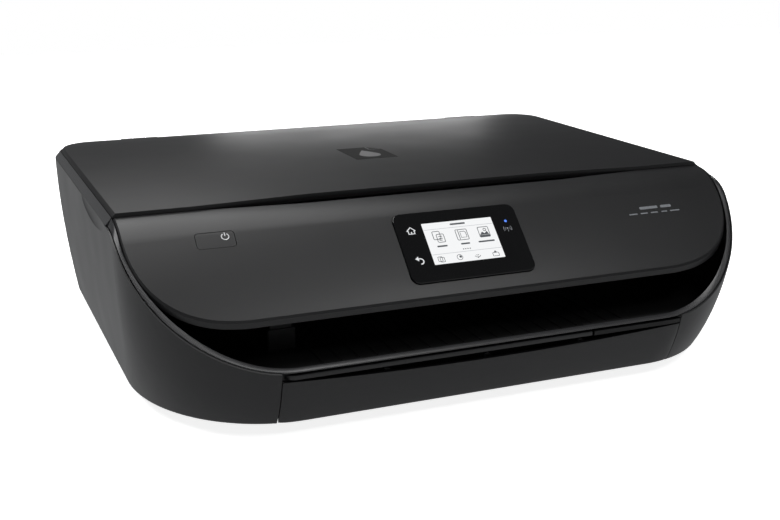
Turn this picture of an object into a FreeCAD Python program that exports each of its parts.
"""Flatbed all-in-one inkjet printer, modelled as separate pieces in millimetres.

Frame: origin at the centre of the footprint on the table, +Z up, -Y the front (paper comes
out there), +X to the right of a person facing the front.
Each function below makes one piece, and the list at the end writes one STEP file per piece.
"""
import FreeCAD
import Part
import math
import os

V = FreeCAD.Vector

# ---------------------------------------------------------------- overall sizes
WIDTH = 445.0
DEPTH = 367.0
HEIGHT = 128.0

# ---------------------------------------------------------------- clearances and walls
WALL = 2.5                  # moulded walls of the casing
SEAM = 0.4                  # gap between two fixed outer pieces
GAP = 0.6                   # gap round a piece that moves
FIT = 0.05                  # radial clearance of a shaft in its bore
AIR = 2.0                   # room kept round inner mechanism

# ---------------------------------------------------------------- outer body ("bowl")
BODY_BOTTOM = 8.0           # lower edge of the casing above the table
BODY_TOP = HEIGHT - 7.5     # where the chamfered band starts
BAND_TOP = HEIGHT - 2.5     # upper inner edge of the band, level with the lid's seam
BAND_INSET = 4.0            # how far the band leans in along the sides
RIM_INSET = 6.3             # the same round the front of the output opening
SIDE_LEAN = 10.5            # the sides come in by this much at the bottom
FRONT_LEAN = 17.3           # the front comes in by this much at the bottom
REAR_LEAN = 4.5
FRONT_CORNER_X = 89.0       # half axes of the elliptic front corners, seen from above
FRONT_CORNER_TOP = 81.0
FRONT_CORNER_BOTTOM = 104.0
REAR_CORNER = 28.0
KNUCKLE_R = 3.0             # hinge barrels of the lid, the rearmost pieces
BOTTOM_FILLET = 4.0
FRONT_OVERHANG = 4.5        # the uncut front would stand this far before the rim
HALF = WIDTH / 2
FRONT = -DEPTH / 2
REAR = DEPTH / 2
REAR_WALL = REAR - KNUCKLE_R

# ---------------------------------------------------------------- the sloping front
RIM_Z = 44.6                # outer edge of the rim at the middle of the front
RIM_RISE = 3.0              # its inner edge is this much higher
CASE_SLOPE = 45.0           # slope of the casing's cut seen from the side, degrees
CASE_BEND = 40.0            # radius where the cut turns level
PANEL_BEND = 45.0           # the same for the control panel's surface
PANEL_SLOPE_TOP = 41.0      # slope of the panel's surface below the bend, degrees
PANEL_SLOPE_END = 50.5      # slope at the rim
LID_OVERLAP = 4.0           # the lid covers this much of the bend
PANEL_WALL = 2.5
PANEL_SIDE = 2.2            # thickness of the panel's turned-down edge
PANEL_DEPTH = 3.0           # depth of that edge
LIP_BEVEL = 1.0             # bevel along the panel's lower edge
LINER_DROP = 5.6            # underside of the opening's ceiling below the panel's surface

# ---------------------------------------------------------------- paper and mechanism
PAPER_WIDTH = 216.0
PAPER_Z = 64.0              # height of the sheet while it is printed on
TRAY_FLOOR = 12.0
TRAY_TOP = 37.0
TRAY_WALL = 2.0
TRAY_SIDE = 15.0            # room for the tray's sides beside the paper
MOUTH_HALF = 141.0          # half width of the tray's mouth in the casing
FACE_TOP = 39.4             # top of the tray's front at its ends
FACE_DIP = 4.0              # finger dip in the middle of it
DECK_Z = 38.7
DECK_T = 1.7
ARM_Z = 40.6                # extender arm under the rim
ARM_T = 2.8
ARM_W = 12.0
ARM_RIGHT = 71.0            # right end of the arm
SCAN_FLOOR = HEIGHT - 20.0  # underside of the scanner's pan
DECK_TOP = HEIGHT - 6.5     # plate that holds the glass

# ---------------------------------------------------------------- small helpers


def box(x0, x1, y0, y1, z0, z1):
    return Part.makeBox(x1 - x0, y1 - y0, z1 - z0, V(x0, y0, z0))


def rod(axis, centre, r, a, b):
    """Cylinder of radius r along axis 'x', 'y' or 'z', from a to b, through the point centre."""
    cx, cy, cz = centre
    if axis == "x":
        return Part.makeCylinder(r, b - a, V(a, cy, cz), V(1, 0, 0))
    if axis == "y":
        return Part.makeCylinder(r, b - a, V(cx, a, cz), V(0, 1, 0))
    return Part.makeCylinder(r, b - a, V(cx, cy, a), V(0, 0, 1))


def tube(axis, centre, r, bore, a, b):
    return rod(axis, centre, r, a, b).cut(rod(axis, centre, bore, a - 1, b + 1))


def join(*shapes):
    out = shapes[0].multiFuse(list(shapes[1:])) if len(shapes) > 1 else shapes[0]
    return out.removeSplitter()


def prism_x(edges, x0, x1):
    """A closed outline in the YZ plane, drawn at x = 0, swept from x0 to x1."""
    face = Part.Face(Part.Wire(edges))
    face.translate(V(x0, 0, 0))
    return face.extrude(V(x1 - x0, 0, 0))


def poly_x(points, x0, x1):
    p = [V(0, y, z) for y, z in points]
    return prism_x([Part.makeLine(a, b) for a, b in zip(p, p[1:] + p[:1])], x0, x1)


def poly_z(points, z0, z1):
    p = [V(x, y, z0) for x, y in points]
    return Part.Face(Part.makePolygon(p + p[:1])).extrude(V(0, 0, z1 - z0))


def mirrored(shape):
    return shape.mirror(V(0, 0, 0), V(1, 0, 0))


def both(shape):
    """A piece made as a left and right pair, as two solids in one node."""
    return Part.makeCompound([shape, mirrored(shape)])


def rounded_plate(w, h, r, z0, z1):
    """Plate w by h with corner radius r, centred on the origin, in its own XY plane."""
    plate = box(-w / 2, w / 2, -h / 2, h / 2, z0, z1)
    upright = [e for e in plate.Edges if abs(e.Vertexes[0].Z - e.Vertexes[1].Z) > 1e-6]
    return plate.makeFillet(r, upright)


# ---------------------------------------------------------------- outer body shape


def level(z):
    """0 at the bottom of the casing, 1 at the top."""
    return min(1.0, max(0.0, (z - BODY_BOTTOM) / (BODY_TOP - BODY_BOTTOM)))


def body_size(z, inset=0.0):
    """Half width, front y, rear y and front corner half axes of the body's outline at z."""
    fall = 1 - level(z)
    half = HALF - SIDE_LEAN * fall ** 1.8 - inset
    front = FRONT - FRONT_OVERHANG + FRONT_LEAN * fall ** 3.67 + inset
    rear = REAR_WALL - REAR_LEAN * fall ** 1.8 - inset
    ry = FRONT_CORNER_TOP + (FRONT_CORNER_BOTTOM - FRONT_CORNER_TOP) * fall ** 2 - inset
    return half, front, rear, FRONT_CORNER_X - inset, ry


def ellipse_quarter(cx, cy, z, rx, ry, sx):
    """Front corner of the outline: from the side, round to the front; sx is -1 left, 1 right."""
    major, minor = (rx, ry) if rx >= ry else (ry, rx)
    s1 = V(cx + sx * rx, cy, z) if rx >= ry else V(cx, cy - ry, z)
    s2 = V(cx, cy - ry, z) if rx >= ry else V(cx + sx * rx, cy, z)
    if abs(rx - ry) < 1e-6:
        mid = V(cx + sx * rx * math.sqrt(0.5), cy - ry * math.sqrt(0.5), z)
        return Part.Arc(V(cx + sx * rx, cy, z), mid, V(cx, cy - ry, z)).toShape()
    curve = Part.Ellipse(s1, s2, V(cx, cy, z))
    a = curve.parameter(V(cx + sx * rx, cy, z))
    b = curve.parameter(V(cx, cy - ry, z))
    if (b - a) % (2 * math.pi) > math.pi:
        a, b = b, a
    return Part.Edge(curve, a, a + (b - a) % (2 * math.pi))


def body_wire(z, inset=0.0, at=None):
    """Outline of the body at height z (drawn at height at), inset inwards."""
    h = z if at is None else at
    half, front, rear, rx, ry = body_size(z, inset)
    rb = max(REAR_CORNER - inset, 6.0)
    k = rb * (1 - math.sqrt(0.5))
    cx, cy = half - rx, front + ry
    edges = [
        Part.makeLine(V(-cx, front, h), V(cx, front, h)),
        ellipse_quarter(cx, cy, h, rx, ry, 1),
        Part.makeLine(V(half, cy, h), V(half, rear - rb, h)),
        Part.Arc(V(half, rear - rb, h), V(half - k, rear - k, h), V(half - rb, rear, h)).toShape(),
        Part.makeLine(V(half - rb, rear, h), V(-half + rb, rear, h)),
        Part.Arc(V(-half + rb, rear, h), V(-half + k, rear - k, h),
                 V(-half, rear - rb, h)).toShape(),
        Part.makeLine(V(-half, rear - rb, h), V(-half, cy, h)),
        ellipse_quarter(-cx, cy, h, rx, ry, -1),
    ]
    return Part.Wire(Part.__sortEdges__(edges))


def body(inset=0.0, z0=BODY_BOTTOM, z1=BODY_TOP, steps=6):
    """Solid of the body's outer shape, inset inwards, from z0 to z1."""
    stations = [z0 + (z1 - z0) * i / steps for i in range(steps + 1)]
    return Part.makeLoft([body_wire(z, inset) for z in stations], True, False)


def body_column(z, inset, z0, z1):
    """Straight column with the body's outline at height z."""
    return Part.Face(body_wire(z, inset, z0)).extrude(V(0, 0, z1 - z0))


# ---------------------------------------------------------------- profiles seen from the side


class Slope:
    """Side profile that is level at z = top, bends down, and runs to the rim at the front.

    below(d) is everything under the profile moved inwards by d, across the whole width.
    """

    def __init__(self, top, bend, first, last, end_y, end_z):
        self.top, self.bend = top, bend
        self.a1, self.a2 = math.radians(first), math.radians(last)
        drop = top - end_z - bend * (1 - math.cos(self.a1))
        if last > first:
            self.long = drop / (math.cos(self.a1) - math.cos(self.a2))
            run = self.long * (math.sin(self.a2) - math.sin(self.a1))
        else:
            self.long = None
            run = drop / math.tan(self.a1)
        self.start = end_y + bend * math.sin(self.a1) + run
        self.end = (end_y, end_z)

    def at(self, radius_less, angle, second):
        """Point on the moved profile at a slope angle."""
        c1 = (self.start, self.top - self.bend)
        r = self.bend - radius_less
        if second:
            more = self.long - self.bend
            c1 = (c1[0] + more * math.sin(self.a1), c1[1] - more * math.cos(self.a1))
            r = self.long - radius_less
        return c1[0] - r * math.sin(angle), c1[1] + r * math.cos(angle)

    def height(self, y):
        """Height of the profile at y."""
        if y >= self.start:
            return self.top
        bend_end = self.start - self.bend * math.sin(self.a1)
        if y >= bend_end:
            return self.top - self.bend + math.sqrt(self.bend ** 2 - (self.start - y) ** 2)
        z1 = self.top - self.bend * (1 - math.cos(self.a1))
        if self.long is None:
            return z1 - (bend_end - y) * math.tan(self.a1)
        s = min(0.999, math.sin(self.a1) + (bend_end - y) / self.long)
        return z1 - self.long * (math.cos(self.a1) - math.sqrt(1 - s * s))

    def slope(self, y):
        """Slope angle at y, in radians."""
        return math.atan2(self.height(y + 0.01) - self.height(y - 0.01), 0.02)

    def edges(self, d):
        """Profile edges from the rear to the front, moved inwards by d, and their end points."""
        rear = (REAR + 50, self.top - d)
        p0 = self.at(d, 0, False)
        pm = self.at(d, self.a1 / 2, False)
        p1 = self.at(d, self.a1, False)

        def v(p):
            return V(0, p[0], p[1])
        made = [Part.makeLine(v(rear), v(p0)), Part.Arc(v(p0), v(pm), v(p1)).toShape()]
        last = p1
        if self.long:
            p2 = self.at(d, (self.a1 + self.a2) / 2, True)
            last = self.at(d, self.a2, True)
            made.append(Part.Arc(v(p1), v(p2), v(last)).toShape())
        run = 90.0
        far = (last[0] - run * math.cos(self.a2), last[1] - run * math.sin(self.a2))
        made.append(Part.makeLine(v(last), v(far)))
        return made, rear, far

    def below(self, d=0.0):
        made, rear, far = self.edges(d)
        low = -150.0
        corners = [far, (far[0], low), (rear[0], low), rear]
        p = [V(0, y, z) for y, z in corners]
        made += [Part.makeLine(a, b) for a, b in zip(p, p[1:])]
        return prism_x(made, -WIDTH, WIDTH)


PANEL = Slope(BAND_TOP, PANEL_BEND, PANEL_SLOPE_TOP, PANEL_SLOPE_END,
              FRONT + RIM_INSET, RIM_Z + RIM_RISE)
CASE = Slope(BODY_TOP - 0.2, CASE_BEND, CASE_SLOPE, CASE_SLOPE, FRONT, RIM_Z)
LID_FRONT = PANEL.start - LID_OVERLAP

# the casing's top drops behind this so that the scanner unit can swing
REAR_STEP = 5.5
STEP_RUN = 12.0


def on_panel(shape, x, y):
    """Places a shape drawn flat (X right, Y up the slope, Z outwards) on the panel's surface."""
    z = PANEL.height(y)
    a = math.degrees(PANEL.slope(y))
    shape = shape.copy()
    shape.rotate(V(0, 0, 0), V(1, 0, 0), a)
    shape.translate(V(x, y, z))
    return shape


# ---------------------------------------------------------------- casing
SCOOP_Y = LID_FRONT + 52.0   # middle of the finger recess along the side
SCOOP_L = 100.0
SCOOP_H = 11.0
SCOOP_D = 1.6
REBATE = 2.8                 # depth of the step that the front rim sits in
INLET_X = -150.0             # mains inlet in the rear wall
INLET_Z = 26.0
INLET_W = 21.0
INLET_H = 14.0
USB_X = -98.0
USB_Z = 24.0
USB_W = 12.6
USB_H = 11.4
VENT_COUNT = 12
VENT_PITCH = 8.0
VENT_W = 3.0
VENT_H = 26.0
VENT_X = 60.0
VENT_Z = 66.0


def step_cut():
    """What is removed from the casing's top behind the hinge line."""
    top = BODY_TOP - 0.2
    y1 = REAR_WALL - 3 * WALL
    pts = [(y1 - STEP_RUN, top + 20), (y1 - STEP_RUN, top), (y1, top - REAR_STEP),
           (REAR + 20, top - REAR_STEP), (REAR + 20, top + 20)]
    return poly_x(pts, -WIDTH, WIDTH)


def outer_case():
    """Wrap-round casing: sides, rear and front corners in one moulding."""
    outer = body()
    bottom = [e for e in outer.Edges
              if max(abs(v.Z - BODY_BOTTOM) for v in e.Vertexes) < 1e-6]
    outer = outer.makeFillet(BOTTOM_FILLET, bottom)
    shell = outer.cut(body(WALL, BODY_BOTTOM + WALL, BODY_TOP))
    opening = body_column(BODY_BOTTOM, BOTTOM_FILLET + 4.0, 0, BODY_BOTTOM + WALL + 1)
    shell = shell.cut(opening)
    land = 0.8                       # width of the casing's edge outside the rim
    rebate = body(land, BODY_BOTTOM, BODY_TOP).cut(CASE.below(REBATE))
    rebate = rebate.common(box(-WIDTH, WIDTH, FRONT - 50, LID_FRONT - 2, 0, HEIGHT))
    shell = shell.common(CASE.below()).cut(rebate).cut(step_cut())
    mouth = box(-MOUTH_HALF, MOUTH_HALF, FRONT - 20, FRONT + 60, 0, RIM_Z + 1.5)
    shell = shell.cut(mouth)
    # finger recesses under the band, left and right
    scoop = Part.makeSphere(1.0)
    m = FreeCAD.Matrix()
    m.scale(SCOOP_D * 2, SCOOP_L / 2, SCOOP_H)
    scoop = scoop.transformGeometry(m)
    scoop.translate(V(HALF + SCOOP_D * 0.6, SCOOP_Y, BODY_TOP))
    shell = shell.cut(scoop).cut(mirrored(scoop))
    # sockets and cooling slots in the rear wall
    back = (REAR_WALL - 20, REAR_WALL + 5)
    for x, z, w, h in ((INLET_X, INLET_Z, INLET_W, INLET_H), (USB_X, USB_Z, USB_W, USB_H)):
        shell = shell.cut(box(x - w / 2 - SEAM, x + w / 2 + SEAM, *back,
                              z - h / 2 - SEAM, z + h / 2 + SEAM))
    for i in range(VENT_COUNT):
        x = VENT_X + VENT_PITCH * i
        slot = box(x, x + VENT_W, *back, VENT_Z, VENT_Z + VENT_H)
        shell = shell.cut(slot)
    return shell


def rim_section(x, y_outer, y_inner, x_inner):
    """Corner points of the rim's section where its outer edge is at x, y_outer."""
    z_out = CASE.height(y_outer) + 0.3
    z_in = PANEL.height(y_inner)
    thin, thick = 0.8, RIM_RISE - 0.6
    return [V(x, y_outer, z_out), V(x_inner, y_inner, z_in),
            V(x_inner, y_inner, z_in - thick), V(x, y_outer, z_out - thin)]


def outline_point(angle, inset, profile):
    """Point of the body's right outline at an angle round the front corner, on a profile.

    angle 0 is where the corner meets the side, 90 where it meets the front.
    """
    z = RIM_Z + 30.0
    for _ in range(40):
        half, front, rear, rx, ry = body_size(z, inset)
        x = half - rx + rx * math.cos(math.radians(angle))
        y = front + ry - ry * math.sin(math.radians(angle))
        z = 0.5 * z + 0.5 * profile.height(y)
    return x, y


def rim_inset(angle):
    """The band leans in more towards the front."""
    return BAND_INSET + (RIM_INSET - BAND_INSET) * math.sin(math.radians(angle)) ** 2


def front_rim():
    """Trim round the output opening; its sloping face carries the body's band to the front."""
    outer_inset = 1.5
    side = []
    stations = 15
    for i in range(stations + 1):
        angle = 90.0 * i / stations
        xo, yo = outline_point(angle, outer_inset, CASE)
        xi, yi = outline_point(angle, rim_inset(angle), PANEL)
        side.append(rim_section(xo, yo, yi, xi))
    corner_start_y = side[0][0].y
    y_seam = LID_FRONT - SEAM
    straight = []
    for share in (0.0, 0.5):
        y = y_seam + (corner_start_y - y_seam) * share
        half = body_size(BODY_TOP)[0]
        straight.append(rim_section(half - outer_inset, y, y, half - BAND_INSET))
    right = straight + side
    left = [[V(-p.x, p.y, p.z) for p in s] for s in reversed(right)]
    sections = [Part.makePolygon(s + s[:1]) for s in right]
    mirror_sections = [Part.makePolygon(s + s[:1]) for s in left]
    a = Part.makeLoft(sections, True, False)
    b = Part.makeLoft(mirror_sections, True, False)
    bar = Part.makeLoft([sections[-1], mirror_sections[0]], True, True)
    return a.fuse(bar).fuse(b)


def base_pan():
    """Bottom plate with a recessed plinth under it and upstanding tray runners."""
    edge = BOTTOM_FILLET + 4.0 + SEAM
    plate = body_column(BODY_BOTTOM, edge, BODY_BOTTOM - 1.0, BODY_BOTTOM + 1.2)
    plinth = body_column(BODY_BOTTOM, edge + 26, FOOT_H, BODY_BOTTOM - 0.5)
    mouth = box(-MOUTH_HALF - 0.2, MOUTH_HALF + 0.2, FRONT - 5, FRONT + 26, 0, HEIGHT)
    pan = plate.cut(mouth).fuse(plinth.cut(mouth))
    runner_x = PAPER_WIDTH / 2 + TRAY_SIDE + 1.0
    runner = box(runner_x, runner_x + 3, FRONT + 30, REAR_WALL - 45, BODY_BOTTOM + 0.5, TRAY_TOP)
    return pan.multiFuse([runner, mirrored(runner)])


FOOT_H = 3.0
FOOT_R = 9.0
FOOT_X = HALF - 62.0
FOOT_FRONT = FRONT + 92.0
FOOT_REAR = REAR - 62.0


def rubber_feet():
    feet = []
    for x in (-FOOT_X, FOOT_X):
        for y in (FOOT_FRONT, FOOT_REAR):
            pad = rod("z", (x, y, 0), FOOT_R, 0, FOOT_H)
            low = [e for e in pad.Edges if e.BoundBox.ZMax < 1e-6 and e.isClosed()]
            feet.append(pad.makeFillet(0.8, low))
    return Part.makeCompound(feet)


SCREW_R = 3.2


def base_screws():
    """Pan-head screws that hold the bottom plate."""
    made = []
    x, ys = HALF - 78.0, (FRONT + 70.0, 0.0, REAR - 40.0)
    for sx in (-x, x):
        for y in ys:
            head = rod("z", (sx, y, 0), SCREW_R, FOOT_H - 1.6, FOOT_H)
            cross = join(box(sx - 1.8, sx + 1.8, y - 0.4, y + 0.4, FOOT_H - 1.7, FOOT_H - 0.9),
                         box(sx - 0.4, sx + 0.4, y - 1.8, y + 1.8, FOOT_H - 1.7, FOOT_H - 0.9))
            made.append(head.cut(cross))
    return Part.makeCompound(made)


# ---------------------------------------------------------------- output deck and extender arm
ARM_PIVOT_X = -MOUTH_HALF + 9.0
ARM_Y = FRONT + 0.8 + ARM_W / 2      # middle line of the arm
ARM_PIN_R = 1.6
DECK_FRONT = FRONT + 15.0
DECK_REAR = -54.0
FLAP_L = 22.0
FLAP_W = 5.0
FLAP_T = 1.4
FLAP_Y = ARM_Y + 2.7                  # behind the rim, so that the flap can rise


def output_deck():
    """Shelf that printed sheets land on, with the fixed end of the front bar and a lug."""
    plate = body_column(DECK_Z, WALL + SEAM, DECK_Z, DECK_Z + DECK_T)
    plate = plate.common(box(-HALF, HALF, FRONT + 2, DECK_REAR, 0, HEIGHT))
    plate = plate.cut(box(-MOUTH_HALF - 1, MOUTH_HALF + 1, FRONT - 5, DECK_FRONT, 0, HEIGHT))
    plate = plate.cut(box(-HALF, GEAR_X + GEAR_T + AIR, OUT_Y - 22, 0, 0, HEIGHT))
    lug = box(-MOUTH_HALF + SEAM, ARM_PIVOT_X + 9, FRONT + 4.5, DECK_FRONT + 2,
              FACE_TOP + 0.3, DECK_Z + DECK_T)
    arm_top = ARM_Z + ARM_T
    end = body(0.3, BODY_BOTTOM, BODY_TOP).common(
        box(ARM_RIGHT + 1.4, MOUTH_HALF - 0.1, FRONT - 5, DECK_FRONT + 1,
            FACE_TOP + 1.0, arm_top))
    tie = box(ARM_RIGHT + 1.4, MOUTH_HALF - 0.1, DECK_FRONT - 2, DECK_FRONT + 1,
              DECK_Z, arm_top)
    pin = rod("z", (ARM_PIVOT_X, ARM_Y, 0), ARM_PIN_R, DECK_Z + DECK_T - 0.5, ARM_Z + ARM_T - 0.8)
    return join(plate, lug, end, tie, pin)


def extender_arm():
    """Bar across the front that swings out to catch the printed sheet."""
    r = ARM_W / 2
    blade = box(ARM_PIVOT_X, ARM_RIGHT, ARM_Y - r, ARM_Y + r, ARM_Z, ARM_Z + ARM_T)
    arm = join(blade, rod("z", (ARM_PIVOT_X, ARM_Y, 0), r, ARM_Z, ARM_Z + ARM_T))
    bore = rod("z", (ARM_PIVOT_X, ARM_Y, 0), ARM_PIN_R + FIT, ARM_Z - 1, ARM_Z + ARM_T - 0.6)
    x1 = ARM_RIGHT - 4.0
    seat = box(x1 - FLAP_L - 0.8, x1 + 0.4, FLAP_Y - FLAP_W / 2 - 0.4, FLAP_Y + FLAP_W / 2 + 0.4,
               ARM_Z + ARM_T - FLAP_T - 0.5, ARM_Z + ARM_T + 1)
    return arm.cut(bore).cut(seat)


def extender_stop():
    """Small flap near the arm's end that rises to stop the sheet."""
    x1 = ARM_RIGHT - 4.0
    z1 = ARM_Z + ARM_T - 0.1
    flap = box(x1 - FLAP_L, x1 - FLAP_T / 2, FLAP_Y - FLAP_W / 2, FLAP_Y + FLAP_W / 2,
               z1 - FLAP_T, z1)
    barrel = rod("y", (x1 - FLAP_T / 2, 0, z1 - FLAP_T / 2), FLAP_T / 2,
                 FLAP_Y - FLAP_W / 2, FLAP_Y + FLAP_W / 2)
    return join(flap, barrel)


# ---------------------------------------------------------------- paper tray
TRAY_HALF = PAPER_WIDTH / 2 + TRAY_SIDE
TRAY_FRONT = FRONT + 14.0
TRAY_REAR = REAR_WALL - 46.0
FACE_WALL = 3.0


def tray_front():
    """Face of the paper tray: follows the body, with a dip that leaves room for fingers."""
    w = MOUTH_HALF - GAP
    block = box(-w, w, FRONT - 5, TRAY_FRONT, BODY_BOTTOM, FACE_TOP)
    outer = body()
    bottom = [e for e in outer.Edges
              if max(abs(v.Z - BODY_BOTTOM) for v in e.Vertexes) < 1e-6]
    outer = outer.makeFillet(BOTTOM_FILLET, bottom)
    skin = outer.common(block).cut(body(FACE_WALL, BODY_BOTTOM + FACE_WALL, BODY_TOP))
    ribs = []
    for i in range(5):
        x = -w + FACE_WALL / 2 + (2 * w - FACE_WALL) * i / 4
        rib = box(x - FACE_WALL / 2, x + FACE_WALL / 2, FRONT - 5, TRAY_FRONT,
                  BODY_BOTTOM + 0.5, FACE_TOP - FACE_DIP - 1.0)
        ribs.append(outer.common(rib))
    face = join(skin, *ribs)
    dip_half = w - 8.0
    arc = Part.Arc(V(-dip_half, 0, FACE_TOP), V(0, 0, FACE_TOP - FACE_DIP),
                   V(dip_half, 0, FACE_TOP)).toShape()
    top = Part.makeLine(V(dip_half, 0, FACE_TOP), V(-dip_half, 0, FACE_TOP))
    dip = Part.Face(Part.Wire([arc, top]))
    dip.translate(V(0, FRONT - 10, 0))
    return face.cut(dip.extrude(V(0, 40, 0)))


def tray_body():
    """Open box that holds the paper, with slots for the guides."""
    x, y0, y1 = TRAY_HALF, TRAY_FRONT, TRAY_REAR
    tray = box(-x, x, y0, y1, TRAY_FLOOR, TRAY_TOP)
    tray = tray.cut(box(-x + TRAY_WALL, x - TRAY_WALL, y0 + TRAY_WALL, y1 - TRAY_WALL,
                        TRAY_FLOOR + TRAY_WALL, TRAY_TOP + 1))
    # the rear wall is low so that the sheet can be pushed over it
    tray = tray.cut(box(-x + 12, x - 12, y1 - 5, y1 + 1, TRAY_FLOOR + 8, TRAY_TOP + 1))
    for sign in (-1, 1):
        xs = sorted((sign * 40.0, sign * (PAPER_WIDTH / 2 + 6)))
        tray = tray.cut(box(xs[0], xs[1], GUIDE_Y - 3, GUIDE_Y + 3, TRAY_FLOOR - 1,
                            TRAY_FLOOR + TRAY_WALL + 0.01))
    return tray.cut(box(-3, 3, y0 + 6, y0 + 150, TRAY_FLOOR - 1, TRAY_FLOOR + TRAY_WALL + 0.01))


GUIDE_Y = -40.0
GUIDE_T = 3.0
GUIDE_LONG = 130.0


def width_guide():
    """Right-hand paper width guide: upright blade on a foot that runs in the tray's slot."""
    x = PAPER_WIDTH / 2
    z = TRAY_FLOOR + TRAY_WALL + 0.1
    blade = box(x + 0.5, x + 0.5 + GUIDE_T, GUIDE_Y - GUIDE_LONG / 2, GUIDE_Y + GUIDE_LONG / 2,
                z, TRAY_TOP - 3)
    foot = box(x - 14, x + 1, GUIDE_Y - 20, GUIDE_Y + 20, z, z + 1.0)
    key = box(x - 10, x - 4, GUIDE_Y - 2.6, GUIDE_Y + 2.6, TRAY_FLOOR + 0.3, z + 0.5)
    grip = box(x + 0.6 - 3.0, x + 1, GUIDE_Y - 5, GUIDE_Y + 5, z, TRAY_TOP - 6)
    return join(blade, foot, key, grip)


def length_guide():
    y = TRAY_FRONT + TRAY_WALL + 4.0
    z = TRAY_FLOOR + TRAY_WALL + 0.1
    blade = box(-22, 22, y, y + GUIDE_T, z, TRAY_TOP - 4)
    foot = box(-16, 16, y - 1.5, y + 16, z, z + 1.0)
    key = box(-2.6, 2.6, y + 4, y + 12, TRAY_FLOOR + 0.3, z + 0.5)
    return join(blade, foot, key)


# ---------------------------------------------------------------- scanner unit and lid
ACCESS_Y = REAR_WALL - 6.0           # hinge line of the whole upper unit
ACCESS_Z = HEIGHT - 16.0
ACCESS_PIN_R = 2.5
ACCESS_X = HALF - 60.0
LID_AXIS_Y = REAR - KNUCKLE_R
LID_AXIS_Z = HEIGHT - KNUCKLE_R - 0.5
LID_PIN_R = 1.5
LID_HINGE_X = 150.0                  # middle of each lid hinge
LID_KNUCKLE = 10.0                   # length of one barrel
GLASS_HALF_X = 155.0
GLASS_FRONT = -72.0
GLASS_REAR = 150.0
GLASS_T = 1.8
PANEL_HALF = HALF - 4.9
LIP_Y = FRONT + 27.0
LIP_CORNER_X = 73.6
LIP_CORNER_Y = 54.0
LIP_POWER = 2.6
PAD_TOP_DROP = 3.0                   # the pad is glued this far below the lid's top
LID_BEVEL = 2.2                      # bevel of the lid's upper edge
NOTCH_HALF = 166.0                   # finger notch in the lid's front edge
NOTCH_FLAT = 88.0
NOTCH_LID = 7.0
NOTCH_PANEL = 4.6
WINDOW_X = 2.0
WINDOW_Y = FRONT + 52.8
WINDOW_W = 89.5
WINDOW_H = 53.0
WINDOW_R = 6.0
SCREEN_X = 1.5
SCREEN_W = 51.6
SCREEN_H = 31.8
SCREEN_UP = 0.6
BUTTON_X = -160.5
BUTTON_Y = FRONT + 68.9
BUTTON_W = 24.5
BUTTON_H = 11.5
BUTTON_R = 2.0
BUTTON_GAP = 0.35


def ramp_notch(flat, half, depth, y, side):
    """Plan outline of a finger notch whose depth fades to nothing at its ends."""
    pts = [(-half, y), (-flat, y + side * depth), (flat, y + side * depth), (half, y)]
    back = y - side * 10
    return pts + [(half, back), (-half, back)]


def lid_outline(inset, front_extra=0.0):
    half = HALF - BAND_INSET - 0.5 - inset
    rear = REAR_WALL - 2.8 - inset
    front = LID_FRONT + inset + front_extra
    r = REAR_CORNER - 1.0 - inset
    k = r * (1 - math.sqrt(0.5))
    return Part.Wire([
        Part.makeLine(V(-half, front, 0), V(half, front, 0)),
        Part.makeLine(V(half, front, 0), V(half, rear - r, 0)),
        Part.Arc(V(half, rear - r, 0), V(half - k, rear - k, 0), V(half - r, rear, 0)).toShape(),
        Part.makeLine(V(half - r, rear, 0), V(-half + r, rear, 0)),
        Part.Arc(V(-half + r, rear, 0), V(-half + k, rear - k, 0), V(-half, rear - r, 0)).toShape(),
        Part.makeLine(V(-half, rear - r, 0), V(-half, front, 0))])


def lid_cover():
    """Scanner lid: shallow shell with bevelled edges, finger notch and hinge barrels."""
    z0 = HEIGHT - 4.6
    slab = Part.Face(lid_outline(0.0)).extrude(V(0, 0, HEIGHT - z0))
    slab.translate(V(0, 0, z0))
    # the upper edge is bevelled along the sides and the back, and sharp at the front
    top_edges = [e for e in slab.Edges
                 if e.BoundBox.ZMin > HEIGHT - 1e-6 and e.BoundBox.YMax > LID_FRONT + 1.0]
    slab = slab.makeChamfer(LID_BEVEL, top_edges)
    notch = poly_z(ramp_notch(NOTCH_FLAT, NOTCH_HALF, NOTCH_LID, LID_FRONT, 1), z0 - 1, HEIGHT + 1)
    slab = slab.cut(notch)
    hollow = Part.Face(lid_outline(6.0, NOTCH_LID)).extrude(V(0, 0, HEIGHT - PAD_TOP_DROP - z0 + 1))
    hollow.translate(V(0, 0, z0 - 1))
    slab = slab.cut(hollow)
    y, z = LID_AXIS_Y, LID_AXIS_Z
    for x in (-LID_HINGE_X, LID_HINGE_X):
        half = 1.5 * LID_KNUCKLE + GAP
        gap_box = box(x - half, x + half, y - KNUCKLE_R - GAP, y + 5, z0 - 5, HEIGHT + 1)
        barrel = rod("x", (0, y, z), KNUCKLE_R, x - LID_KNUCKLE / 2, x + LID_KNUCKLE / 2)
        root = box(x - LID_KNUCKLE / 2, x + LID_KNUCKLE / 2, y - KNUCKLE_R - GAP - 0.5, y,
                   z - 0.9, z + 2.4)
        bore = rod("x", (0, y, z), LID_PIN_R + FIT, x - half - 1, x + half + 1)
        slab = join(slab.cut(gap_box), barrel, root).cut(bore)
    return slab


def lid_pad():
    """White foam pad under the lid that presses the sheet onto the glass."""
    pad = box(-GLASS_HALF_X - 3, GLASS_HALF_X + 3, GLASS_FRONT + 3, GLASS_REAR - 3,
              DECK_TOP + 0.5, HEIGHT - PAD_TOP_DROP)
    corners = [e for e in pad.Edges if abs(e.Vertexes[0].Z - e.Vertexes[1].Z) > 1e-6]
    return pad.makeFillet(4.0, corners)


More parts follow.
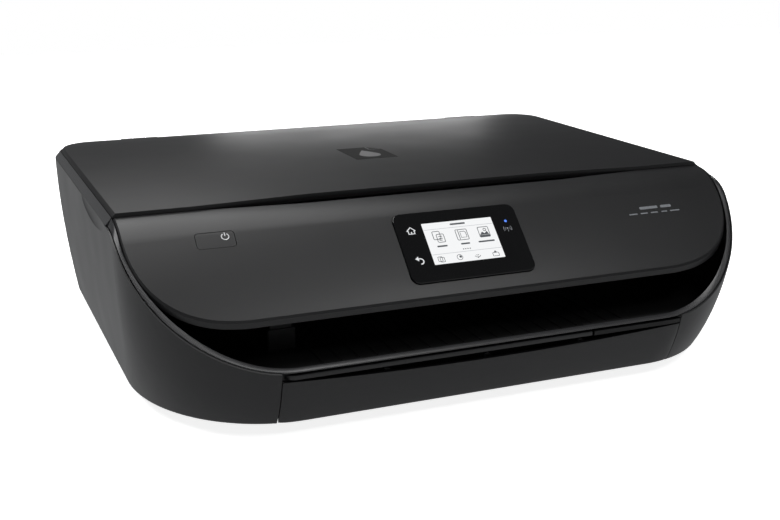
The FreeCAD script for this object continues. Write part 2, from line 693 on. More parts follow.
def lid_hinge_pins():
    half = 1.5 * LID_KNUCKLE
    pin = rod("x", (0, LID_AXIS_Y, LID_AXIS_Z), LID_PIN_R, LID_HINGE_X - half, LID_HINGE_X + half)
    return both(pin)


def scanner_frame():
    """Top housing of the scanner unit: chamfered band, deck round the glass, inner skirt."""
    low = body_wire(BODY_TOP, 0.0, BODY_TOP + 0.3)
    high = body_wire(BODY_TOP, BAND_INSET, BAND_TOP)
    cap = Part.makeLoft([low, high], True, True)
    skirt = body_column(BODY_TOP, WALL + GAP, SCAN_FLOOR + 5, BODY_TOP + 1)
    skirt = skirt.cut(body_column(BODY_TOP, 2 * WALL + GAP, SCAN_FLOOR, BODY_TOP + 2))
    # the skirt ends ahead of the rear corners, which swing down into the casing
    skirt = skirt.cut(box(-WIDTH, WIDTH, REAR_WALL - REAR_CORNER - 5, REAR + 5, 0, BODY_TOP))
    frame = join(cap, skirt)
    recess = body_column(BODY_TOP, BAND_INSET, DECK_TOP, BAND_TOP + 1)
    frame = frame.cut(recess)
    pocket = Part.Face(lid_outline(-0.5)).extrude(V(0, 0, 10))
    pocket.translate(V(0, 0, DECK_TOP + 0.8))
    frame = frame.cut(pocket)
    # deck underside is hollow between the skirt and the scanner's pan
    hollow = body_column(BODY_TOP, 2 * WALL + GAP, SCAN_FLOOR, DECK_TOP - WALL)
    frame = frame.cut(hollow)
    # the control panel takes over ahead of the lid
    frame = frame.cut(box(-WIDTH, WIDTH, FRONT - 50, LID_FRONT - 0.01, 0, HEIGHT + 10))
    # thicker bed under the glass, with a ledge for it to rest on
    bed = box(-GLASS_HALF_X - 6, GLASS_HALF_X + 6, GLASS_FRONT - 6, GLASS_REAR + 6,
              DECK_TOP - WALL + 0.1, DECK_TOP - 0.2)
    frame = join(frame, bed)
    window = box(-GLASS_HALF_X + 4, GLASS_HALF_X - 4, GLASS_FRONT + 4, GLASS_REAR - 4,
                 SCAN_FLOOR, HEIGHT)
    seat = box(-GLASS_HALF_X - 0.2, GLASS_HALF_X + 0.2, GLASS_FRONT - 0.2, GLASS_REAR + 0.2,
               DECK_TOP - 1.5, HEIGHT)
    frame = frame.cut(window).cut(seat)
    y, z = LID_AXIS_Y, LID_AXIS_Z
    for x in (-LID_HINGE_X, LID_HINGE_X):
        sweep = rod("x", (0, y, z), KNUCKLE_R + GAP, x - LID_KNUCKLE / 2 - GAP,
                    x + LID_KNUCKLE / 2 + GAP)
        frame = frame.cut(sweep)
        for side in (-1, 1):
            a = x + side * (LID_KNUCKLE / 2 + GAP)
            b = a + side * (LID_KNUCKLE - GAP)
            a, b = min(a, b), max(a, b)
            barrel = rod("x", (0, y, z), KNUCKLE_R, a, b)
            root = box(a, b, y - KNUCKLE_R, y + KNUCKLE_R - 0.5, DECK_TOP - 1, z)
            frame = join(frame, barrel, root)
        frame = frame.cut(rod("x", (0, y, z), LID_PIN_R + FIT, x - 20, x + 20))
    # room for the hinge brackets, and ears that hang on the access hinge pins
    room = box(ACCESS_X - 14, ACCESS_X + 14, ACCESS_Y - 10, REAR_WALL, SCAN_FLOOR,
               ACCESS_Z + ACCESS_PIN_R + 4)
    frame = frame.cut(room).cut(mirrored(room))
    ear_y0 = ACCESS_Y - 7
    for sx in (-1, 1):
        a = sx * ACCESS_X - 4
        ear = box(a, a + 8, ear_y0, ACCESS_Y + 0.3, ACCESS_Z - 3.0, DECK_TOP - 0.4)
        eye = rod("x", (0, ACCESS_Y, ACCESS_Z), ACCESS_PIN_R + 0.75, a, a + 8)
        frame = join(frame, ear, eye)
    frame = frame.cut(rod("x", (0, ACCESS_Y, ACCESS_Z), ACCESS_PIN_R + FIT,
                          -ACCESS_X - 10, -ACCESS_X + 10))
    return frame.cut(rod("x", (0, ACCESS_Y, ACCESS_Z), ACCESS_PIN_R + FIT,
                         ACCESS_X - 10, ACCESS_X + 10))


def hinge_brackets():
    """Brackets on the rear of the casing that hold the access hinge pins."""
    made = []
    for side in (-1, 1):
        a = ACCESS_X + side * 9.5
        plate = box(a - 2.5, a + 2.5, ACCESS_Y - 9, REAR_WALL - WALL - 0.4, ACCESS_Z - 40,
                    ACCESS_Z - 3)
        plate = join(plate, rod("x", (0, ACCESS_Y, ACCESS_Z), ACCESS_PIN_R + 2.0, a - 2.5, a + 2.5),
                     box(a - 2.5, a + 2.5, ACCESS_Y - 4.5, ACCESS_Y + 3.0,
                         ACCESS_Z - 5, ACCESS_Z))
        made.append(plate)
    web = box(ACCESS_X - 12, ACCESS_X + 12, ACCESS_Y - 9, ACCESS_Y - 6,
              ACCESS_Z - 40, ACCESS_Z - 12)
    bracket = join(*made, web).common(body(WALL + 0.1, BODY_BOTTOM, BODY_TOP))
    bracket = bracket.cut(rod("x", (0, ACCESS_Y, ACCESS_Z), ACCESS_PIN_R,
                              ACCESS_X - 20, ACCESS_X + 20))
    return both(bracket)


def access_hinge_pins():
    pin = rod("x", (0, ACCESS_Y, ACCESS_Z), ACCESS_PIN_R, ACCESS_X - 12, ACCESS_X + 12)
    return both(pin)


def scanner_base():
    """Shallow pan under the glass that the scanning head runs in."""
    x, y0, y1 = HALF - 20.0, LID_FRONT + 4.0, ACCESS_Y - 10.0
    pan = box(-x, x, y0, y1, SCAN_FLOOR, DECK_TOP - WALL - 0.01)
    pan = pan.cut(box(-x + 2, x - 2, y0 + 2, y1 - 2, SCAN_FLOOR + 1.6, HEIGHT))
    for sx in (-1, 1):
        a = sx * (x - 5.5)
        ear = box(a - 2, a + 2, SCAN_ROD_Y - 6, SCAN_ROD_Y + 6, SCAN_FLOOR + 1, SCAN_ROD_Z + 3.5)
        pan = join(pan, ear)
    return pan.cut(rod("x", (0, SCAN_ROD_Y, SCAN_ROD_Z), SCAN_ROD_R, -x + 3, x - 3))


SCAN_ROD_Y = GLASS_FRONT - 3.0
SCAN_ROD_Z = SCAN_FLOOR + 5.0
SCAN_ROD_R = 2.0
HEAD_X = -HALF + 62.0


def scan_rod():
    x = HALF - 24.0
    return rod("x", (0, SCAN_ROD_Y, SCAN_ROD_Z), SCAN_ROD_R, -x, x)


def scan_head():
    """Contact image sensor bar; it runs along the rod under the glass."""
    top = DECK_TOP - WALL - 1.3
    bar = box(HEAD_X - 9, HEAD_X + 9, GLASS_FRONT + 2, GLASS_REAR - 2, SCAN_FLOOR + 2.4, top)
    lens = box(HEAD_X - 1.5, HEAD_X + 1.5, GLASS_FRONT + 6, GLASS_REAR - 6, top - 0.8, top + 1)
    block = box(HEAD_X - 12, HEAD_X + 12, SCAN_ROD_Y - 4.5, GLASS_FRONT + 4,
                SCAN_FLOOR + 2.0, SCAN_ROD_Z + 4)
    head = join(bar, block).cut(lens)
    bore = rod("x", (0, SCAN_ROD_Y, SCAN_ROD_Z), SCAN_ROD_R + FIT, HEAD_X - 20, HEAD_X + 20)
    return head.cut(bore)


def scanner_glass():
    return box(-GLASS_HALF_X, GLASS_HALF_X, GLASS_FRONT, GLASS_REAR,
               DECK_TOP - 1.5, DECK_TOP - 1.5 + GLASS_T)


def lip_outline(inset):
    """Plan outline of the control panel: superellipse corners at its lower edge."""
    half, y0 = PANEL_HALF - inset, LIP_Y + inset
    cx, cy = half - LIP_CORNER_X, y0 + LIP_CORNER_Y
    pts = []
    steps = 14
    for i in range(steps + 1):
        a = math.pi / 2 * i / steps
        pts.append(V(cx + LIP_CORNER_X * math.cos(a) ** (2 / LIP_POWER),
                     cy - LIP_CORNER_Y * math.sin(a) ** (2 / LIP_POWER), 0))
    right = Part.BSplineCurve()
    right.interpolate(pts, InitialTangent=V(0, -1, 0), FinalTangent=V(-1, 0, 0))
    left = Part.BSplineCurve()
    left.interpolate([V(-p.x, p.y, 0) for p in pts],
                     InitialTangent=V(0, -1, 0), FinalTangent=V(1, 0, 0))
    top = LID_FRONT - GAP
    return Part.Wire(Part.__sortEdges__([
        Part.makeLine(V(-half, top, 0), V(half, top, 0)),
        Part.makeLine(V(half, top, 0), pts[0]), right.toShape(),
        Part.makeLine(pts[-1], V(-pts[-1].x, pts[-1].y, 0)), left.toShape(),
        Part.makeLine(V(-pts[0].x, pts[0].y, 0), V(-half, top, 0))]))


def panel_layer(depth0, depth1, inset):
    """Layer of the panel's surface between two depths, inside its outline."""
    column = Part.Face(lip_outline(inset)).extrude(V(0, 0, HEIGHT * 1.5))
    return column.common(PANEL.below(depth0)).cut(PANEL.below(depth1))


def bevelled_edges(shape):
    """Edges of the panel's surface along its sides and lower lip."""
    found = []
    for e in shape.Edges:
        a, b = e.Vertexes[0].Point, e.Vertexes[-1].Point
        m = e.valueAt((e.FirstParameter + e.LastParameter) / 2)
        on_surface = abs(m.z - PANEL.height(m.y)) < 0.02
        at_lid = abs(m.y - (LID_FRONT - GAP)) < 0.5
        across = abs(a.x + b.x) < 1e-3 and m.y > LIP_Y + 1.0
        if on_surface and not at_lid and not across:
            found.append(e)
    return found


def control_panel():
    """Sloping front cover with a bevelled lip and openings for the display and the button."""
    block = panel_layer(0.0, PANEL_DEPTH, 0.0)
    block = block.makeChamfer(LIP_BEVEL, bevelled_edges(block))
    panel = block.cut(panel_layer(PANEL_WALL, PANEL_DEPTH + 5.0, PANEL_SIDE))
    notch = poly_z(ramp_notch(NOTCH_FLAT, NOTCH_HALF, NOTCH_PANEL, LID_FRONT - GAP, -1),
                   PANEL.top - 12, HEIGHT + 1)
    ledge = panel_layer(1.6, 4.6, 0.0).common(
        box(-PANEL_HALF, PANEL_HALF, LID_FRONT - 12, LID_FRONT, 0, HEIGHT))
    panel = join(panel.cut(notch), ledge)
    window = on_panel(rounded_plate(WINDOW_W + 2 * SEAM, WINDOW_H + 2 * SEAM,
                                    WINDOW_R + SEAM, -12, 12), WINDOW_X, WINDOW_Y)
    button = on_panel(rounded_plate(BUTTON_W + 2 * BUTTON_GAP, BUTTON_H + 2 * BUTTON_GAP,
                                    BUTTON_R + BUTTON_GAP, -12, 12), BUTTON_X, BUTTON_Y)
    return panel.cut(window).cut(button)


def power_button():
    key = on_panel(rounded_plate(BUTTON_W, BUTTON_H, BUTTON_R, -3.4, 12), BUTTON_X, BUTTON_Y)
    return key.common(PANEL.below(0.15))


WINDOW_PROUD = 0.9
WINDOW_T = 2.2


def display_window():
    """Black-backed touch glass over the screen, slightly proud of the panel."""
    glass = rounded_plate(WINDOW_W, WINDOW_H, WINDOW_R, WINDOW_PROUD - WINDOW_T, WINDOW_PROUD)
    upper = [e for e in glass.Edges if e.BoundBox.ZMin > WINDOW_PROUD - 1e-6]
    return on_panel(glass.makeChamfer(0.35, upper), WINDOW_X, WINDOW_Y)


def lcd_module():
    """Screen behind the window, with its metal back."""
    top = WINDOW_PROUD - WINDOW_T - 0.1
    face = box(SCREEN_X - SCREEN_W / 2, SCREEN_X + SCREEN_W / 2, SCREEN_UP - SCREEN_H / 2,
               SCREEN_UP + SCREEN_H / 2, top - 1.5, top)
    back = box(SCREEN_X - SCREEN_W / 2 - 3, SCREEN_X + SCREEN_W / 2 + 3,
               SCREEN_UP - SCREEN_H / 2 - 3, SCREEN_UP + SCREEN_H / 2 + 3, top - 4.0, top - 1.4)
    return on_panel(join(face, back), WINDOW_X, WINDOW_Y)


def panel_board():
    """Circuit board behind the control panel, with the power switch on it."""
    board = on_panel(box(-178, 60, -14, 10, -9.6, -8.0), 0, WINDOW_Y + 4)
    switch = on_panel(box(-3, 3, -3, 3, -14, -4.9), BUTTON_X, BUTTON_Y)
    return join(board, switch)


def panel_liner():
    """Ceiling of the output opening, fixed behind the panel's lower lip."""
    y0 = LIP_Y + 3.4
    y1 = LIP_Y + 46.0
    z0 = PANEL.height(y0) - LINER_DROP
    half = PANEL_HALF - LIP_CORNER_X + 12.0
    plate = box(-half, half, y0, y1, z0, z0 + 1.8)
    wall = box(-half, half, y1 - 1.8, y1, z0, z0 + 16.0)
    return join(plate, wall)


# ---------------------------------------------------------------- print mechanism
SIDE_X = HALF - 22.0                 # end plates of the chassis
OUT_Y = -52.0
FEED_Y = 18.0
TYRE_R = 6.0
SHAFT_R = 3.0
ROLLER_Z = PAPER_Z - TYRE_R
GEAR_T = 5.0
MODULE = 1.0
TEETH = 36
IDLER_TEETH = 34
PINION_TEETH = 12
IDLER_Y = (OUT_Y + FEED_Y) / 2
PINION_Y = FEED_Y + MODULE * (TEETH + PINION_TEETH) / 2
ROD_Y = 32.0
ROD_Z = 84.0
ROD_R = 4.0
PULLEY_R = 5.0
BELT_T = 1.0
BELT_W = 5.0
BELT_Y = 42.0
BELT_Z = 92.0
PULLEY_X = SIDE_X - 14.0
CARRIAGE_W = 84.0
CARRIAGE_X = SIDE_X - 48.0           # parked at the right
CARRIAGE_TOP = SCAN_FLOOR - 17.0
CARRIAGE_LOW = PAPER_Z + 2.0
CARRIAGE_FRONT = OUT_Y + 10.0
SLOT_HALF = CARRIAGE_W / 4 - 2.5     # half width of one cartridge's slot
BEAM_Y = 48.0
BEAM_T = 1.2


def gear(teeth, width, x0, y, z, phase):
    """Spur gear with its axis along X; phase turns it, in tooth pitches."""
    r = MODULE * teeth / 2
    tip, root = r + 0.85 * MODULE, r - 1.25 * MODULE
    pitch = 2 * math.pi / teeth
    pts = []
    for i in range(teeth):
        c = (i + phase) * pitch
        for a, q in ((-0.30, root), (-0.115, tip), (0.115, tip), (0.30, root)):
            t = c + a * pitch
            pts.append((y + q * math.cos(t), z + q * math.sin(t)))
    return poly_x(pts, x0, x0 + width)


TYRE_XS = [-96.0 + 64.0 * i for i in range(4)]
TYRE_W = 12.0
GEAR_X = -SIDE_X - 3.0 - GEAR_T - 1.0
SHAFT_ENDS = (GEAR_X, SIDE_X + 4.0)


def feed_roller():
    """Grit-coated steel roller that moves the sheet under the print heads, with its gear."""
    half = PAPER_WIDTH / 2 + 4
    return join(rod("x", (0, FEED_Y, ROLLER_Z), SHAFT_R, *SHAFT_ENDS),
                rod("x", (0, FEED_Y, ROLLER_Z), TYRE_R, -half, half),
                gear(TEETH, GEAR_T, GEAR_X, FEED_Y, ROLLER_Z, 0.0))


def output_roller():
    return join(rod("x", (0, OUT_Y, ROLLER_Z), SHAFT_R, *SHAFT_ENDS),
                gear(TEETH, GEAR_T, GEAR_X, OUT_Y, ROLLER_Z, 0.0))


def output_tyres():
    """Rubber tyres on the output roller."""
    return Part.makeCompound([tube("x", (0, OUT_Y, ROLLER_Z), TYRE_R, SHAFT_R,
                                   x - TYRE_W / 2, x + TYRE_W / 2) for x in TYRE_XS])


def idler_gear():
    wheel = gear(IDLER_TEETH, GEAR_T, GEAR_X, IDLER_Y, ROLLER_Z, 0.5)
    return wheel.cut(rod("x", (0, IDLER_Y, ROLLER_Z), 2.0 + FIT, GEAR_X - 1, GEAR_X + GEAR_T + 1))


def motor_pinion():
    return join(gear(PINION_TEETH, GEAR_T, GEAR_X, PINION_Y, ROLLER_Z, 0.5),
                rod("x", (0, PINION_Y, ROLLER_Z), 1.5, GEAR_X, -SIDE_X + 1.0))


def feed_motor():
    can = rod("x", (0, PINION_Y, ROLLER_Z), 11.5, -SIDE_X + 2.0, -SIDE_X + 30.0)
    boss = rod("x", (0, PINION_Y, ROLLER_Z), 4.0, -SIDE_X + 29.0, -SIDE_X + 32.0)
    return join(can, boss)


def chassis():
    """Pressed-steel frame: two end plates and the beam behind the carriage."""
    top = SCAN_FLOOR - 3.0
    left = box(-SIDE_X - 1.5, -SIDE_X, -66, BEAM_Y + 14, DECK_Z + DECK_T + 0.4, top)
    right = box(SIDE_X, SIDE_X + 1.5, -66, BEAM_Y + 14, DECK_Z + DECK_T + 0.4, top)
    plates = left.fuse(right)
    for y in (OUT_Y, FEED_Y):
        plates = plates.cut(rod("x", (0, y, ROLLER_Z), SHAFT_R + FIT, -HALF, HALF))
    plates = plates.cut(rod("x", (0, ROD_Y, ROD_Z), ROD_R, -HALF, HALF))
    plates = plates.cut(rod("x", (0, PINION_Y, ROLLER_Z), 3.0, -HALF, 0))
    beam = box(-SIDE_X - 0.5, SIDE_X + 0.5, BEAM_Y, BEAM_Y + BEAM_T, 72.0, top)
    flange = box(-SIDE_X - 0.5, SIDE_X + 0.5, BEAM_Y, BEAM_Y + 12, 72.0, 72.0 + BEAM_T)
    stub = rod("x", (0, IDLER_Y, ROLLER_Z), 2.0, GEAR_X, -SIDE_X - 0.5)
    frame = join(plates, beam, flange, stub)
    frame = frame.cut(rod("y", (-PULLEY_X, 0, BELT_Z), 2.5, BEAM_Y - 5, BEAM_Y + 5))
    peg = rod("y", (PULLEY_X, 0, BELT_Z), 1.5, BELT_Y - BELT_W / 2, BEAM_Y + 0.5)
    return join(frame, peg)


def carriage_rod():
    return rod("x", (0, ROD_Y, ROD_Z), ROD_R, -SIDE_X - 1.5, SIDE_X + 1.5)


def encoder_strip():
    return box(-SIDE_X, SIDE_X, BEAM_Y - 1.0, BEAM_Y - 0.7, 74.0, 80.0)


def carriage_motor():
    can = rod("y", (-PULLEY_X, 0, BELT_Z), 12.0, BEAM_Y + BEAM_T, BEAM_Y + 34)
    return can


def drive_pulley():
    wheel = rod("y", (-PULLEY_X, 0, BELT_Z), PULLEY_R, BELT_Y - BELT_W / 2, BELT_Y + BELT_W / 2)
    shaft = rod("y", (-PULLEY_X, 0, BELT_Z), 1.5, BELT_Y - BELT_W / 2, BEAM_Y + BEAM_T - 0.2)
    flat = box(-PULLEY_X - 3, -PULLEY_X + 3, BELT_Y - BELT_W / 2 - 1, BELT_Y - BELT_W / 2 + 0.5,
               BELT_Z + 2.5, BELT_Z + 3.5)
    return join(wheel, shaft).cut(flat)


def idler_pulley():
    wheel = tube("y", (PULLEY_X, 0, BELT_Z), PULLEY_R, 1.5 + FIT,
                 BELT_Y - BELT_W / 2, BELT_Y + BELT_W / 2)
    flat = box(PULLEY_X - 3, PULLEY_X + 3, BELT_Y - BELT_W / 2 - 1, BELT_Y - BELT_W / 2 + 0.5,
               BELT_Z + 2.5, BELT_Z + 3.5)
    return wheel.cut(flat)


def carriage_belt():
    """Toothed belt round the two pulleys, as a plain band."""
    r = PULLEY_R + 0.3

    def loop(rr):
        ends = [rod("y", (x, 0, BELT_Z), rr, BELT_Y - BELT_W / 2 + 0.3, BELT_Y + BELT_W / 2 - 0.3)
                for x in (-PULLEY_X, PULLEY_X)]
        mid = box(-PULLEY_X, PULLEY_X, BELT_Y - BELT_W / 2 + 0.3, BELT_Y + BELT_W / 2 - 0.3,
                  BELT_Z - rr, BELT_Z + rr)
        return join(ends[0], mid, ends[1])
    return loop(r + BELT_T).cut(loop(r))


def carriage():
    """Carriage that holds the two cartridges, open at the front and top."""
    x0, x1 = CARRIAGE_X - CARRIAGE_W / 2, CARRIAGE_X + CARRIAGE_W / 2
    y0, y1 = CARRIAGE_FRONT, ROD_Y - ROD_R - 3.0
    shell = box(x0, x1, y0, y1, CARRIAGE_LOW, CARRIAGE_TOP)
    for sx in (-1, 1):
        cx = CARRIAGE_X + sx * CARRIAGE_W / 4
        shell = shell.cut(box(cx - SLOT_HALF, cx + SLOT_HALF, y0 - 1, y1 - 3, CARRIAGE_LOW + 2,
                              CARRIAGE_TOP + 1))
        shell = shell.cut(box(cx - 9, cx + 9, y0 + 8, y0 + 34, CARRIAGE_LOW - 1, CARRIAGE_LOW + 3))
    arm = box(x0 + 14, x1 - 14, y1 - 1, ROD_Y + ROD_R + 3.0, ROD_Z - 7.5, ROD_Z + 7.5)
    grip_z = BELT_Z - PULLEY_R - 0.3 - BELT_T
    clamp = box(CARRIAGE_X - 6, CARRIAGE_X + 6, ROD_Y + ROD_R, BELT_Y + 2, grip_z - 3.0,
                grip_z - 0.2)
    body_ = join(shell, arm, clamp)
    return body_.cut(rod("x", (0, ROD_Y, ROD_Z), ROD_R + FIT, x0, x1))


def cartridge(sign):
    """Ink cartridge: body, print-head nose and finger ridge. sign -1 is left, 1 right."""
    cx = CARRIAGE_X + sign * CARRIAGE_W / 4
    y0, y1 = CARRIAGE_FRONT - 3.0, ROD_Y - ROD_R - 7.0
    z0, z1 = CARRIAGE_LOW + 2.4, CARRIAGE_TOP - 3.4
    tank = box(cx - SLOT_HALF + 1, cx + SLOT_HALF - 1, y0, y1, z0, z1)
    tank = tank.makeFillet(1.5, [e for e in tank.Edges if abs(e.BoundBox.YLength) < 1e-6
                                 and abs(e.BoundBox.ZLength) > 5 and e.BoundBox.YMin < y0 + 1])
    ridge = box(cx - 10, cx + 10, y0 - 1.6, y0 + 1, z0 + 8, z0 + 11)
    ridge2 = box(cx - 10, cx + 10, y0 - 1.6, y0 + 1, z0 + 14, z0 + 17)
    return join(tank, ridge, ridge2)


LATCH_L = 14.0


def latch(sign):
    """Cartridge latch: a flap across the top front of the slot, hinged at its rear."""
    cx = CARRIAGE_X + sign * CARRIAGE_W / 4
    y1 = CARRIAGE_FRONT + LATCH_L
    z = CARRIAGE_TOP - 1.6
    half = SLOT_HALF - 0.5
    flap = box(cx - half + 1.5, cx + half - 1.5, CARRIAGE_FRONT - 2.0, y1, z - 1.0, z + 1.0)
    barrel = rod("x", (0, y1, z), 1.5, cx - half, cx + half)
    return join(flap, barrel)


def platen():
    """Ribbed plate that supports the sheet under the print heads."""
    x = PAPER_WIDTH / 2 + 3
    plate = box(-x, x, OUT_Y + 9, FEED_Y - 9, PAPER_Z - 6, PAPER_Z - 2.5)
    ribs = [box(-x + 6 + 16 * i, -x + 8 + 16 * i, OUT_Y + 10, FEED_Y - 10, PAPER_Z - 3,
                PAPER_Z - 0.6) for i in range(int((2 * x - 12) / 16) + 1)]
    end = [box(s * (x + 1) - 3, s * (x + 1) + 3, OUT_Y + 12, FEED_Y - 12,
               DECK_Z + DECK_T + 0.4, PAPER_Z - 3) for s in (-1, 1)]
    return join(plate, *ribs, *end)


STAR_R = 4.0
STAR_Z = PAPER_Z + STAR_R + 0.3
STAR_XS = [x + dx for x in TYRE_XS for dx in (-2.5, 2.5)]
STAR_END = PAPER_WIDTH / 2 + 3


def star_wheels():
    """Spiked wheels that hold the printed sheet down without smearing it."""
    shaft = rod("x", (0, OUT_Y, STAR_Z), 1.0, -STAR_END - 2, STAR_END + 2)
    stars = []
    points = 12
    for x in STAR_XS:
        pts = []
        for i in range(2 * points):
            r = STAR_R if i % 2 else STAR_R * 0.72
            a = math.pi * i / points
            pts.append((OUT_Y + r * math.cos(a), STAR_Z + r * math.sin(a)))
        stars.append(poly_x(pts, x - 0.4, x + 0.4))
    return join(shaft, *stars)


def star_bar():
    """Holder of the star wheels: a beam on two posts that stand on the output deck."""
    y0, y1 = OUT_Y - 7.5, OUT_Y + 3.0
    x = STAR_END + 1.5
    parts = [box(-x, x, y0, y0 + 1.8, STAR_Z - 3, STAR_Z + 3.0)]
    for s in (-1, 1):
        a, b = s * STAR_END - 1.5, s * STAR_END + 1.5
        parts.append(box(a, b, y0, y1, STAR_Z - 6, STAR_Z + 3.0))
        parts.append(box(a, b, y0, y0 + 3.0, DECK_Z + DECK_T, STAR_Z - 5))
    return join(*parts).cut(rod("x", (0, OUT_Y, STAR_Z), 1.0 + FIT, -HALF, HALF))


STATION_X = CARRIAGE_X
SLED_T = 8.0


def service_station():
    """Trough at the parking end that catches waste ink and guides the capping sled."""
    x0, x1 = STATION_X - 35, STATION_X + 38
    y0, y1 = OUT_Y + 10, FEED_Y - 10
    z0, z1 = DECK_Z + DECK_T + 0.4, CARRIAGE_LOW - 8.0
    tub = box(x0, x1, y0, y1, z0, z1)
    return tub.cut(box(x0 + 2, x1 - 2, y0 + 2, y1 - 2, z0 + 2, z1 + 1))


def service_sled():
    """Sled with the two rubber caps that seal the parked print heads."""
    x0, x1 = STATION_X - 31, STATION_X + 25
    y0, y1 = OUT_Y + 13, FEED_Y - 13
    z1 = CARRIAGE_LOW - 8.0
    sled = box(x0, x1, y0, y1, z1 - SLED_T, z1)
    caps = [box(STATION_X + s * CARRIAGE_W / 4 - 6 - 3, STATION_X + s * CARRIAGE_W / 4 + 6 - 3,
                y0 + 2, y1 - 6, z1 - 0.5, z1 + 5.0) for s in (-1, 1)]
    return join(sled, *caps)


# ---------------------------------------------------------------- pick-up and rear path
TURN_Y = REAR_WALL - 40.0
TURN_Z = PAPER_Z - 6.0
TURN_R = 16.0
PICK_Y = 96.0
PICK_Z = 66.0
PICK_REACH = 34.0
PICK_R = 11.0
PICK_X = 40.0
PICK_SHAFT_R = 2.5
PICK_ROLLER_Z = TRAY_TOP - 6.0 + PICK_R


def rear_paper_guide():
    """Curved guide that turns the sheet from the tray up to the feed roller."""
    x = PAPER_WIDTH / 2 + 10
    outer, inner = TURN_R + 8.5, TURN_R + 6.0
    ring = tube("x", (0, TURN_Y, TURN_Z), outer, inner, -x, x)
    ring = ring.common(box(-x, x, TURN_Y, TURN_Y + outer + 1, 0, HEIGHT))
    shelf = box(-x, x, BEAM_Y + 16, TURN_Y + 0.5, TURN_Z + inner, TURN_Z + outer)
    cheeks = [box(s * (x + 1.4) - 1.5, s * (x + 1.4) + 1.5, TRAY_REAR + 1.5, TURN_Y + outer,
                  BODY_BOTTOM + 1.3, TURN_Z + outer) for s in (-1, 1)]
    guide = join(ring, shelf, *cheeks)
    guide = guide.cut(rod("x", (0, TURN_Y, TURN_Z), SHAFT_R + FIT, -HALF, HALF))
    # two stands under the shelf, with the pick-up arm's shaft between them
    stands = [box(s * PICK_X - 1.5, s * PICK_X + 1.5, PICK_Y - 5, PICK_Y + 5, PICK_Z - 5,
                  TURN_Z + inner + 0.5) for s in (-1, 1)]
    shaft = rod("x", (0, PICK_Y, PICK_Z), PICK_SHAFT_R, -PICK_X, PICK_X)
    return join(guide, *stands, shaft)


def turn_roller():
    """Drum that carries the sheet round the rear bend."""
    x = PAPER_WIDTH / 2 + 10 + 2.9
    drums = [rod("x", (0, TURN_Y, TURN_Z), TURN_R, cx - 16, cx + 16) for cx in (-64.0, 0.0, 64.0)]
    flat = box(-90, 90, TURN_Y - 1, TURN_Y + 1, TURN_Z + TURN_R - 0.6, TURN_Z + TURN_R + 1)
    return join(rod("x", (0, TURN_Y, TURN_Z), SHAFT_R, -x, x), *drums).cut(flat)


def pick_arm():
    """Arm that lets the pick-up roller down onto the paper."""
    y0 = PICK_Y - PICK_REACH
    z0 = PICK_ROLLER_Z
    length = math.hypot(PICK_REACH, PICK_Z - z0)
    tilt = math.degrees(math.atan2(PICK_Z - z0, PICK_REACH))
    plates = []
    for x in (-17.0, 14.0):
        bar = box(x, x + 3, -length, 0, -4, 4)
        bar = join(bar, rod("x", (0, 0, 0), 5.0, x, x + 3), rod("x", (0, -length, 0), 5.0, x, x + 3))
        plates.append(bar)
    tie = box(-17, 17, -13, -8, -1.5, 1.5)
    arm = join(*plates, tie)
    arm.rotate(V(0, 0, 0), V(1, 0, 0), tilt)
    arm.translate(V(0, PICK_Y, PICK_Z))
    arm = arm.cut(rod("x", (0, PICK_Y, PICK_Z), PICK_SHAFT_R + FIT, -20, 20))
    return arm.cut(rod("x", (0, y0, z0), 2.0 + FIT, -20, 20))


def pick_roller():
    y, z = PICK_Y - PICK_REACH, PICK_ROLLER_Z
    flat = box(-12, 12, y - 2, y + 2, z + PICK_R - 0.5, z + PICK_R + 1)
    return join(rod("x", (0, y, z), 2.0, -17, 17), rod("x", (0, y, z), PICK_R, -13, 13)).cut(flat)


# ---------------------------------------------------------------- electrics
def power_supply():
    """Closed box with the mains circuit, behind the left end of the mechanism."""
    can = box(-HALF + 20.5, -PAPER_WIDTH / 2 - TRAY_SIDE - 8, 62, REAR_WALL - 32,
              BODY_BOTTOM + 1.2, 54)
    upright = [e for e in can.Edges if e.BoundBox.ZLength > 10]
    return can.makeFillet(3.0, upright)


def power_inlet():
    """Two-pin mains socket in the rear wall, with its pins inside."""
    x, z, w, h = INLET_X, INLET_Z, INLET_W, INLET_H
    y1 = REAR_WALL - 3.6
    block = box(x - w / 2, x + w / 2, y1 - 22, y1 + 0.6, z - h / 2, z + h / 2)
    mouth = join(rod("y", (x - 4, 0, z), 4.6, y1 - 14, y1 + 2),
                 rod("y", (x + 4, 0, z), 4.6, y1 - 14, y1 + 2),
                 box(x - 4, x + 4, y1 - 14, y1 + 2, z - 4.6, z + 4.6))
    pins = [rod("y", (x + s * 4.3, 0, z), 1.2, y1 - 15, y1 - 3) for s in (-1, 1)]
    return join(block.cut(mouth), *pins)


def usb_socket():
    """Square data socket in the rear wall."""
    x, z, w, h = USB_X, USB_Z, USB_W, USB_H
    y1 = REAR_WALL - 3.6
    shell = box(x - w / 2, x + w / 2, y1 - 16, y1 + 0.6, z - h / 2, z + h / 2)
    mouth = box(x - 4.3, x + 4.3, y1 - 9, y1 + 2, z - 3.9, z + 3.9)
    tongue = box(x - 2.8, x + 2.8, y1 - 10, y1 - 1, z - 1.6, z + 1.6)
    return join(shell.cut(mouth), tongue)


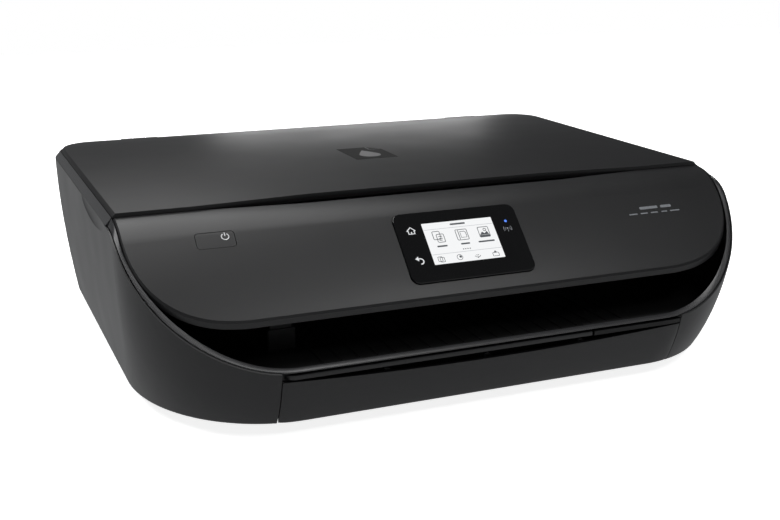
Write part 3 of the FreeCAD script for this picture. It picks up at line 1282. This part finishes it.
def main_board():
    """Logic board on the right, with its larger chips and connectors."""
    x0, x1 = PAPER_WIDTH / 2 + TRAY_SIDE + 10, HALF - 18
    y0, y1 = 66, REAR_WALL - 40
    z = BODY_BOTTOM + 6
    board = box(x0, x1, y0, y1, z, z + 1.6)
    chips = [box(x0 + 12, x0 + 28, y0 + 14, y0 + 30, z + 1.2, z + 3.2),
             box(x0 + 34, x0 + 44, y0 + 18, y0 + 30, z + 1.2, z + 2.8),
             box(x0 + 4, x0 + 9, y0 + 10, y0 + 40, z + 1.2, z + 7.0)]
    posts = [rod("z", (x, y, 0), 2.5, BODY_BOTTOM + 1.2, z + 0.2)
             for x in (x0 + 5, x1 - 5) for y in (y0 + 5, y1 - 5)]
    return join(board, *chips, *posts)


PIECES = [
    outer_case, front_rim, base_pan, rubber_feet, base_screws, output_deck, extender_arm,
    extender_stop, tray_front, tray_body, length_guide, lid_cover, lid_pad, lid_hinge_pins,
    scanner_frame, hinge_brackets, access_hinge_pins, scanner_base, scan_rod, scan_head,
    scanner_glass, control_panel, power_button, display_window, lcd_module, panel_board,
    panel_liner, feed_roller, output_roller, output_tyres, idler_gear, motor_pinion, feed_motor,
    chassis, carriage_rod, encoder_strip, carriage_motor, drive_pulley, idler_pulley,
    carriage_belt, carriage, platen, star_wheels, star_bar, service_station, service_sled,
    rear_paper_guide, turn_roller, pick_arm, pick_roller, power_supply, power_inlet, usb_socket,
    main_board,
]


def write(name, shape):
    solids = shape.Solids
    whole = solids[0] if len(solids) == 1 else Part.makeCompound(solids)
    whole.exportStep(os.path.join("parts", name + ".step"))
    print("%-20s solids %d valid %s volume %.0f" % (name, len(solids), whole.isValid(),
                                                     sum(s.Volume for s in solids)))


def main():
    os.makedirs("parts", exist_ok=True)
    for old in os.listdir("parts"):
        if old.endswith(".step"):
            os.remove(os.path.join("parts", old))
    for piece in PIECES:
        write(piece.__name__, piece())
    right = width_guide()
    write("width_guide_right", right)
    write("width_guide_left", mirrored(right))
    for name, sign in (("black", -1), ("colour", 1)):
        write(name + "_cartridge", cartridge(sign))
        write(name + "_latch", latch(sign))


main()
